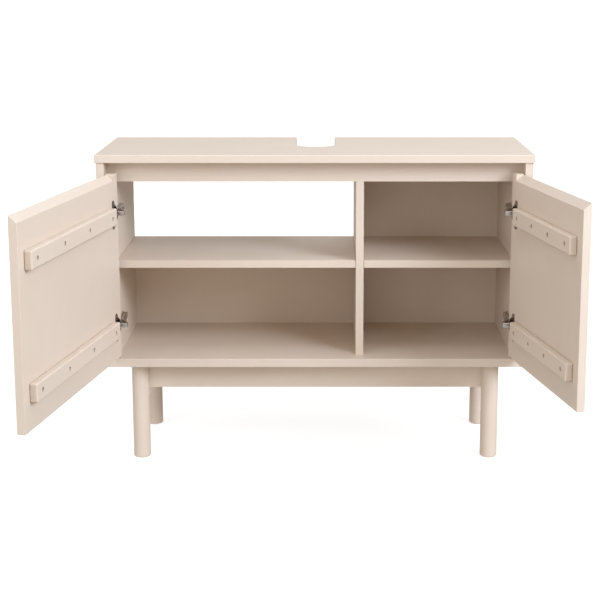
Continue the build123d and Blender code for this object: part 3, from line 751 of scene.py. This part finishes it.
def flange_outline(angles, sizes):
    """Edge of a cup's flange about its ears' middle line, (x, z) for each angle, cup at (0, 0).

    Its distance is the soft maximum of a disc's and a stadium's: the disc about the cup and the
    stadium of ear radius about the line between the ears.
    """
    offset, spread, ear = sizes["ear_offset"], sizes["ear_spread"], sizes["ear_radius"]
    sharpness, tiny = 30, 1e-9
    c, s = np.cos(angles), np.sin(angles)
    disc = offset * c + np.sqrt(sizes["disc"] ** 2 - (offset * s) ** 2)
    side = ear / np.maximum(np.abs(c), tiny)
    along = spread * np.abs(s)
    cap = along + np.sqrt(np.maximum(along ** 2 - (spread ** 2 - ear ** 2), 0.0))
    stadium = np.where(side * np.abs(s) <= spread, side, cap)
    distance = (disc ** sharpness + stadium ** sharpness) ** (1 / sharpness)
    return np.stack([distance * c - offset, distance * s], axis=-1)


def cup_skin(sizes, wall):
    """A pressed hinge cup in (x, z, out of the door), with the door's face at level 0.

    A profile is carried round: up the outer wall, out under the flange to its edge, back over the
    flange, over a rounded lip, down the inner wall and across the floor. Flange rings lie between
    the cup's circle and the flange's outline, by shares.
    """
    angles = round_angles(128)
    circle = np.stack([np.cos(angles), np.sin(angles)], axis=-1)
    outline = flange_outline(angles, sizes)
    radius, depth, flange = sizes["radius"], sizes["depth"], sizes["flange"]
    inner, floor = radius - wall, 0.8 * wall - depth
    corner, lip, lip_height, edge = 2 * wall, 0.6 * wall, 0.78 * wall, flange / 3
    bend = np.linspace(0.0, np.pi / 2, 5)
    bends = list(zip(np.cos(bend), np.sin(bend)))

    outside = [(0.1 * radius, -depth)]
    outside += [(radius - corner * (1 - s), corner * (1 - c) - depth) for c, s in bends]
    outside += [(radius, -0.1 * wall)]
    inside = [(inner + lip * (1 - s), flange - lip + lip_height * c) for c, s in bends]
    inside += [(inner - corner * (1 - c), floor + corner * (1 - s)) for c, s in bends]
    inside += [(0.35 * radius, floor), (0.1 * radius, floor)]
    plans = [circle * radius * (1 - share) + outline * share for share in (0.1, 0.5, 0.9)]
    inset = outline * (1 - edge / np.linalg.norm(outline, axis=1, keepdims=True))
    flange_rings = [(plan, 0.0) for plan in plans]
    flange_rings += [(inset, 0.0), (outline, edge), (outline, flange - edge), (inset, flange)]
    flange_rings += [(plan, flange) for plan in plans[::-1]]

    rings = [(circle * r, z) for r, z in outside] + flange_rings + [(circle * r, z) for r, z in inside]
    return skin(np.array([np.column_stack([plan, np.full(len(plan), z)]) for plan, z in rings]))


def block_skin(low, high, softness=0.28):
    """A soft-edged block: a superellipsoid, each axis the signed power of a sphere's coordinate."""
    up = np.linspace(-np.pi / 2, np.pi / 2, 26)[1:-1, None]
    sphere = about_z(np.cos(up), round_angles(48), np.sin(up))
    block = np.sign(sphere) * np.abs(sphere) ** softness
    low, high = np.minimum(low, high), np.maximum(low, high)
    return skin(block * (high - low) / 2 + (high + low) / 2)


def spring_skin(mean_r, wire_r, turns, width):
    """A coil about +Z: a circle carried round a helix, whose height is the run's share of the width."""
    steps_a_turn, wire_angles = 28, round_angles(10)
    run = np.linspace(0.0, TURN * turns, steps_a_turn * turns + 1)[:, None]
    level = (run / (TURN * turns) - 0.5) * (width - 2 * wire_r) + wire_r * np.sin(wire_angles)
    return skin(about_z(mean_r + wire_r * np.cos(wire_angles), run, level)[:, ::-1])


def lug_skins(level, pivot, sizes, fittings):
    """The two soft-edged lugs in a cup that hold its pin, above and below the level.

    Each stands a little into the cup's floor, rises past the pin's axis and ends short of the wall.
    """
    half, wall = fittings.lug_width / 2, fittings.cup_wall
    foot_y = sizes["face"] - sizes["depth"] + 0.2 * wall
    top_y = pivot[1] + 0.65 * half
    near, far = fittings.lug_gap / 2, sizes["radius"] - 1.7 * wall
    return [
        block_skin(
            np.array([pivot[0] - half, foot_y, level + up * near]),
            np.array([pivot[0] + half, top_y, level + up * far]),
        )
        for up in (-1, 1)
    ]


def cup_parts(side, fittings):
    """Skins of the two cups with their lugs, and of their springs, for a closed right-hand door."""
    pivot = opening(side)[1] * (SIDES[side], 1, 1)
    sizes, eye_half = cup_sizes(side), arm_sizes(side)["neck_width"] / 2
    room, wire = fittings.lug_gap / 2 - eye_half, fittings.spring_wire
    coil_r, coil_width = pin_radius(side) + wire, 0.9 * room
    plan, faces = cup_skin(sizes, fittings.cup_wall)
    cup, cup_faces = plan[:, [0, 2, 1]], [kind[:, ::-1] for kind in faces]
    coil, coil_faces = spring_skin(coil_r, wire / 2, fittings.spring_turns, coil_width)
    shells, springs = [], []
    for level in hinge_levels(side):
        shells.append((cup + (sizes["x"], sizes["face"], level), cup_faces))
        shells += lug_skins(level, pivot, sizes, fittings)
        for up in (-1, 1):
            place = (pivot[0], pivot[1], level + up * (eye_half + room / 2))
            springs.append((coil + place, coil_faces))
    return shells, springs


class CABINET_OT_hinge_cups(bpy.types.Operator):
    """Press the hinge cups with their flanges, lugs and springs into the doors"""

    bl_idname = "cabinet.hinge_cups"
    bl_label = "Press in the hinge cups"

    def execute(self, context):
        # The cups, lugs and springs take the dark steel, whose colour is painted shade.
        steel = finish("cup_steel")
        for side in SIDES:
            turn, axis = opening(side)
            skins = [to_side(*joined(parts), side) for parts in cup_parts(side, settings()[1])]
            shells, springs = [((points - axis) @ turn.T + axis, faces) for points, faces in skins]
            piece = add_piece(f"hinge_cup_shells_{side}", *shells, steel, f"door_{side}", "nickel_steel")
            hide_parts(f"hinge_cups_{side}")
            add_piece(f"hinge_springs_{side}", *springs, steel, f"door_{side}", "nickel_steel")
        return {"FINISHED"}


def rounded_path(corners, radii, steps=6):
    """Points and headings along straight runs joined by arcs.

    At each corner an arc of its radius starts and ends radius * tan(half the turn) from the corner.
    """
    corners = np.array(corners, float)
    places, headings = [corners[0]], [corners[1] - corners[0]]
    for before, here, after, radius in zip(corners[:-2], corners[1:-1], corners[2:], radii):
        inward = (here - before) / np.linalg.norm(here - before)
        onward = (after - here) / np.linalg.norm(after - here)
        turn = np.arctan2(inward[0] * onward[1] - inward[1] * onward[0], inward @ onward)
        start = here - inward * radius * np.tan(abs(turn) / 2)
        normal = np.array([-inward[1], inward[0]]) * np.sign(turn)
        swept = np.linspace(0.0, abs(turn), steps)[:, None]
        places += list(start + radius * (np.sin(swept) * inward + (1 - np.cos(swept)) * normal))
        headings += list(np.cos(swept) * inward + np.sin(swept) * normal)
    places.append(corners[-1])
    headings.append(corners[-1] - corners[-2])
    headings = np.array(headings)
    return np.array(places), headings / np.linalg.norm(headings, axis=1, keepdims=True)


def channel_section(width, depth, wall, steps=5):
    """A U section's closed edge, (across, deep) points: out round the back, in round the hollow.

    Across runs over the width and deep away from the back. Outer corners have a radius a little over
    the wall, inner ones the rest of it.
    """
    bend = np.linspace(0.0, np.pi / 2, steps)
    outer_r = min(1.5 * wall, depth * 0.9)
    inner_r = max(outer_r - wall, wall * 0.1)
    half, inside = width / 2, width / 2 - wall
    outer = [(-half, depth)]
    outer += [(-half + outer_r * (1 - np.cos(b)), outer_r * (1 - np.sin(b))) for b in bend]
    inner = [(-inside, depth)]
    inner += [(-inside + inner_r * (1 - np.cos(b)), wall + inner_r * (1 - np.sin(b))) for b in bend]
    outer += [(-a, d) for a, d in outer[::-1]]
    inner += [(-a, d) for a, d in inner[::-1]]
    return np.array(outer), np.array(inner)


def arm_skin(pivot, sizes, wall):
    """A pressed hinge arm, drawn on the right-hand side in plan (x, y) with its middle at level 0.

    A U section is carried along the arm's back: from the pin, round the neck, over the crank and
    down the channel. Its width and depth run smoothly from the neck's to the channel's over the crank.
    """
    nose_bend, crank_bend = 0.0035, 0.006
    neck_depth, channel_depth = 2.2 * wall, sizes["depth"] - 0.1 * wall
    front, neck, neck_end = sizes["front"], sizes["neck"], sizes["neck_end"]
    back, crank_end, rear = sizes["back"], sizes["crank_end"], sizes["rear"]
    corners = [(pivot[0], front), (neck, front), (neck, neck_end), (back, crank_end), (back, rear)]
    places, headings = rounded_path(corners, (nose_bend, crank_bend, crank_bend))
    share = np.clip((places[:, 1] - neck_end) / (crank_end - neck_end), 0.0, 1.0)
    share = share * share * (3 - 2 * share)
    widths = sizes["neck_width"] * (1 - share) + sizes["width"] * share
    depths = neck_depth * (1 - share) + channel_depth * share
    rings = []
    for place, heading, width, depth in zip(places, headings, widths, depths):
        right = np.array([heading[1], -heading[0]])
        outer, inner = channel_section(width, depth, wall)
        section = np.concatenate([outer, inner[::-1]])
        rings.append(np.column_stack([place + section[:, 1:2] * right, section[:, 0]]))
    rings = np.array(rings)
    columns = rings.shape[1]
    points, (quads, _) = skin(rings)
    k = np.arange(columns // 2 - 1)
    start = np.stack([k, columns - 1 - k, columns - 2 - k, k + 1], axis=-1)
    stop = start[:, ::-1] + (len(rings) - 1) * columns
    return points[:-2], [quads, start, stop]


def eye_skin(pin_r, radius, half):
    """The rolled eye at an arm's end: a barrel about +Z whose ends draw in to the pin."""
    rounding = 0.3 * (radius - pin_r)
    profile_r = np.array([pin_r, radius - rounding, radius, radius, radius - rounding, pin_r])
    profile_z = np.array([-half, -half, rounding - half, half - rounding, half, half])
    angles = round_angles(40)
    return skin(about_z(profile_r[:, None], angles, profile_z[:, None]))


def grub_skin(radius, depth):
    """A slotted adjusting screw about +Z: a bevelled disc with a valley across it as the slot.

    The valley is slot_depth * exp(-(distance from its middle line / half its width)^4).
    """
    slot_half, slot_depth, bevel = 0.16 * radius, 0.4 * radius, 0.12 * radius
    angles = round_angles(40)
    radii = np.array([0.12, 0.3, 0.5, 0.7, 0.88, 1.0, 1.0])[:, None] * radius
    level = -slot_depth * np.exp(-(radii * np.sin(angles) / slot_half) ** 4)
    level[-2], level[-1] = -bevel, -depth
    return skin(about_z(radii, angles, level)[::-1])


def arm_parts(side, fittings):
    """Skins of the two arms with their eyes, and of their adjusting screws, on the right-hand side."""
    wall, sizes = fittings.steel_wall, arm_sizes(side)
    pivot = opening(side)[1] * (SIDES[side], 1, 0)
    inward = np.array([-1.0, 0.0, 0.0])
    grub_r, grub_depth, grub_rise = 1.8 * wall, 2 * wall, 0.2 * wall
    screw_top = screw_seats(f"arm_screws_{side}", inward * SIDES[side], SHORT_SCREW)[0][0]
    grub_y = (sizes["crank_end"] + screw_top[1]) / 2
    grub_place = np.array([sizes["back"] - grub_rise, grub_y, 0.0])
    arm, arm_faces = arm_skin(pivot, sizes, wall)
    eye, eye_faces = eye_skin(pin_radius(side), pivot[1] - sizes["front"], sizes["neck_width"] / 2)
    grub, grub_faces = grub_skin(grub_r, grub_depth)
    arms, grubs = [], []
    for level in hinge_levels(side):
        lift = np.array([0.0, 0.0, level])
        arms += [(arm + lift, arm_faces), (eye + pivot + lift, eye_faces)]
        grubs.append((grub @ turn_to(inward).T + grub_place + lift, grub_faces))
    return arms, grubs


class CABINET_OT_hinge_arms(bpy.types.Operator):
    """Press the cranked hinge arms, with their eyes and adjusting screws"""

    bl_idname = "cabinet.hinge_arms"
    bl_label = "Press the hinge arms"

    def execute(self, context):
        for side in SIDES:
            arms, grubs = [to_side(*joined(parts), side) for parts in arm_parts(side, settings()[1])]
            nickel, zinc = finish("nickel_steel"), finish("zinc_screws")
            piece = add_piece(f"hinge_arm_pressings_{side}", *arms, nickel, "cabinet", "nickel_steel")
            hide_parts(f"hinge_arms_{side}")
            add_piece(f"hinge_adjusters_{side}", *grubs, zinc, "cabinet", "zinc_screws")
        return {"FINISHED"}


# ---------------------------------------------------------------- studio
class CABINET_OT_studio(bpy.types.Operator):
    """Lay the pale floor, hang the soft lights and place the camera"""

    bl_idname = "cabinet.studio"
    bl_label = "Set up the studio"

    def execute(self, context):
        studio = settings()[2]
        add_floor(studio)
        add_sky(studio)
        add_backdrop(studio)
        for name, place, side in (
            ("key", (2.6, -2.2, 2.2), 1.6),
            ("fill", (-2.6, -2.4, 1.4), 2.0),
            ("top", (0.0, -0.4, 3.0), 1.6),
            ("low", (-0.6, -3.4, 0.5), 1.2),
            ("rear", (-1.2, 3.2, 0.4), 1.8),
        ):
            add_softbox(name, getattr(studio, name), studio.softbox_tint, place, side)
        add_camera(studio)
        context.scene.view_settings.view_transform = "Standard"
        return {"FINISHED"}


def glowing_paper(name, shade, glow):
    """Matt near-white paper with faint clouds and a glow of its own."""
    cloud_width, darker_share = 0.6, 0.97
    material, tree, shader, where = node_tree(name)
    darker = [c * darker_share for c in shade]
    clouded = blended(tree, noise(tree, where, cloud_width), shade, darker)
    tree.links.new(clouded, shader.inputs["Base Color"])
    shader.inputs["Roughness"].default_value = 0.9
    shader.inputs["Specular IOR Level"].default_value = 0.1
    shader.inputs["Emission Color"].default_value = (1.0, 1.0, 1.0, 1.0)
    shader.inputs["Emission Strength"].default_value = glow
    return material


def add_stage_piece(name, points, quads, paper):
    """A sheet of the stage, which the eye sees and which throws no light on the cabinet."""
    piece = new_piece(name, points.reshape(-1, 3), [quads.reshape(-1, 4)], paper)
    piece.visible_diffuse = False
    piece.visible_glossy = False
    piece.visible_transmission = False
    piece.visible_shadow = False


def sheet_quads(rows, columns):
    """Faces of an open grid of rows x columns points."""
    i, j = np.meshgrid(np.arange(rows - 1), np.arange(columns - 1), indexing="ij")
    corner = i * columns + j
    return np.stack([corner, corner + 1, corner + columns + 1, corner + columns], axis=-1)


def add_floor(studio):
    """A square grid floor at level 0."""
    count, shade = 9, (0.36, 0.34, 0.32)
    steps = np.linspace(-studio.floor_side / 2, studio.floor_side / 2, count)
    x, y = np.meshgrid(steps, steps, indexing="xy")
    points = np.stack([x, y, np.zeros_like(x)], axis=-1)
    paper = glowing_paper("floor_paper", shade, studio.paper_glow)
    add_stage_piece("floor", points, sheet_quads(count, count), paper)


def add_backdrop(studio):
    """A dome over the floor: a half sphere, radius * (cos up cos round, cos up sin round, sin up)."""
    rows, columns, shade, glow = 13, 49, (0.1, 0.1, 0.1), 1.2
    radius = 0.49 * studio.floor_side
    up = np.linspace(0.0, np.pi / 2, rows)[:, None]
    dome = about_z(radius * np.cos(up), np.linspace(0.0, TURN, columns), radius * np.sin(up))
    paper = glowing_paper("dome_paper", shade, glow)
    add_stage_piece("backdrop", dome, sheet_quads(rows, columns)[..., ::-1], paper)


def add_sky(studio):
    """Light all round: its strength runs from below to above at the horizon, times a share behind."""
    horizon, sideways = 0.15, 0.3
    world = bpy.data.worlds.new("surroundings")
    world.use_nodes = True
    tree = world.node_tree
    direction = tree.nodes.new("ShaderNodeTexCoord").outputs["Generated"]
    parts = tree.nodes.new("ShaderNodeSeparateXYZ")
    tree.links.new(direction, parts.inputs["Vector"])
    upright = between(tree, parts.outputs["Z"], studio.sky_below, studio.sky_above, -horizon, horizon)
    share = between(tree, parts.outputs["Y"], 1.0, studio.sky_behind, -sideways, sideways)
    strength = tree.nodes.new("ShaderNodeMath")
    strength.operation = "MULTIPLY"
    for socket, source in zip(strength.inputs, (upright, share)):
        tree.links.new(source, socket)
    background = tree.nodes["Background"]
    background.inputs["Color"].default_value = (*studio.sky_tint, 1.0)
    tree.links.new(strength.outputs["Value"], background.inputs["Strength"])
    bpy.context.scene.world = world


def add_softbox(name, power, tint, place, side):
    """A square soft light of that side, aimed at the middle of the cabinet."""
    lamp = bpy.data.lights.new(name, "AREA")
    lamp.energy = power
    lamp.color = tint
    lamp.size = side
    light = bpy.data.objects.new(name, lamp)
    light.visible_glossy = False
    bpy.context.scene.collection.objects.link(light)
    away = np.array(place) - np.array(CAD_BOX).mean(axis=0)
    light.location = place
    light.rotation_euler = Matrix(turn_to(away / np.linalg.norm(away)).tolist()).to_euler()


def add_camera(studio):
    """The camera of the photograph: it looks to the rear and a little down, with a shifted picture."""
    camera = bpy.data.cameras.new("camera")
    camera.sensor_width = 36.0
    camera.lens = studio.lens
    camera.shift_x, camera.shift_y = studio.shift
    camera.clip_start = 0.05
    camera.clip_end = 60.0
    eye = bpy.data.objects.new("camera", camera)
    eye.location = studio.eye
    eye.rotation_euler = (np.pi / 2 - studio.pitch, 0.0, -studio.yaw)
    bpy.context.scene.collection.objects.link(eye)
    bpy.context.scene.camera = eye


# ---------------------------------------------------------------- panel and registration
OPERATORS = (
    CABINET_OT_lacquer,
    CABINET_OT_fitting_finishes,
    CABINET_OT_door_screws,
    CABINET_OT_cabinet_screws,
    CABINET_OT_hinge_cups,
    CABINET_OT_hinge_arms,
    CABINET_OT_studio,
)


class CABINET_PT_steps(bpy.types.Panel):
    """Lists the cabinet's sizes, colours and steps"""

    bl_label = "Cabinet"
    bl_idname = "CABINET_PT_steps"
    bl_space_type = "VIEW_3D"
    bl_region_type = "UI"
    bl_category = "Cabinet"

    def draw(self, context):
        """A box of settings for each group, then a button for each step."""
        for group in settings():
            box = self.layout.box()
            for name in group.__annotations__:
                box.prop(group, name)
        for operator in OPERATORS:
            self.layout.operator(operator.bl_idname)


GROUPS = {
    "cabinet_lacquer": LacquerSettings,
    "cabinet_fittings": FittingSettings,
    "cabinet_studio": StudioSettings,
}
CLASSES = (*GROUPS.values(), *OPERATORS, CABINET_PT_steps)


def register():
    """Makes the classes known and gives the scene its three groups of settings."""
    for item in CLASSES:
        bpy.utils.register_class(item)
    for name, group in GROUPS.items():
        setattr(bpy.types.Scene, name, PointerProperty(type=group))


def unregister():
    """Takes the settings and the classes away again, in reverse."""
    for name in GROUPS:
        delattr(bpy.types.Scene, name)
    for item in reversed(CLASSES):
        bpy.utils.unregister_class(item)


def main():
    """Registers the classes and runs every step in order."""
    register()
    bpy.ops.cabinet.lacquer()
    bpy.ops.cabinet.fitting_finishes()
    bpy.ops.cabinet.door_screws()
    bpy.ops.cabinet.cabinet_screws()
    bpy.ops.cabinet.hinge_cups()
    bpy.ops.cabinet.hinge_arms()
    bpy.ops.cabinet.studio()


if __name__ == "__main__":
    main()
